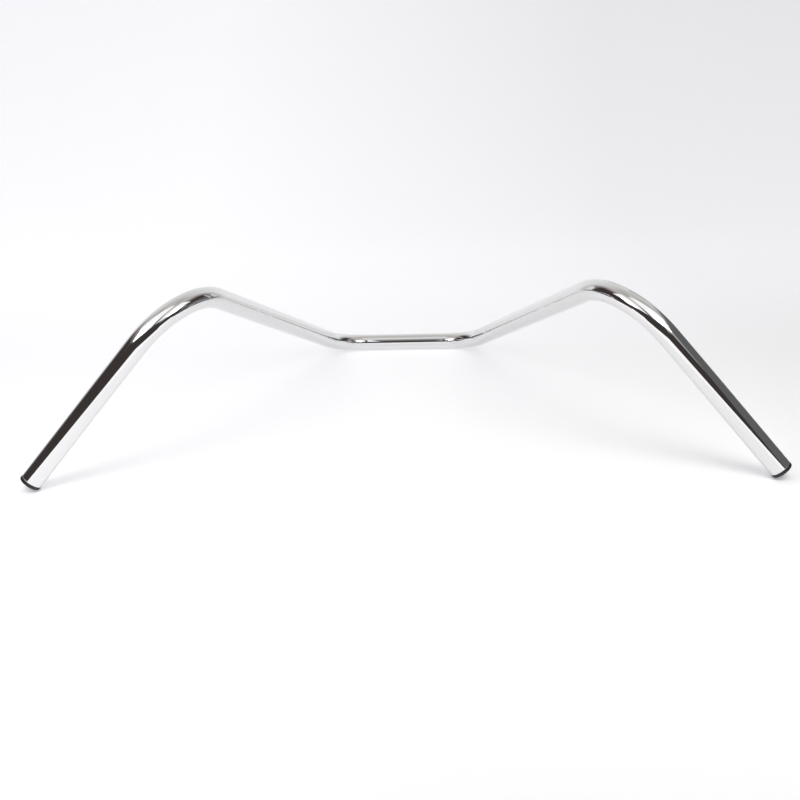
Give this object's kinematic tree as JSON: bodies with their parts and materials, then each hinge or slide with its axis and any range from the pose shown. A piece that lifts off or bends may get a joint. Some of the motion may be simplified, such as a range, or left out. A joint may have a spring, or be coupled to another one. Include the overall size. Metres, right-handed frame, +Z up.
{
  "type": "ape hanger handlebar",
  "caption": "Chromed tubular motorbike handlebar with tall flared risers and pulled-back grip ends closed by black plastic plugs, lying on its clamp section and ends.",
  "frame": {"origin": "centre of the clamp section, on the tube's centreline", "axes": "+X along the clamp section to the rider's right, +Z up from the surface that the bar lies on, -Y towards the tube's two ends"},
  "size_m": [0.7722, 0.4598, 0.1838],
  "materials": {
    "chromed_steel": "bright mirror chrome plating on steel tube",
    "black_plastic": "black moulded plastic, slightly satin"
  },
  "bodies": {
    "root": {"handlebar_tube": "chromed_steel", "left_end_plug": "black_plastic", "right_end_plug": "black_plastic"}
  },
  "joints": []
}
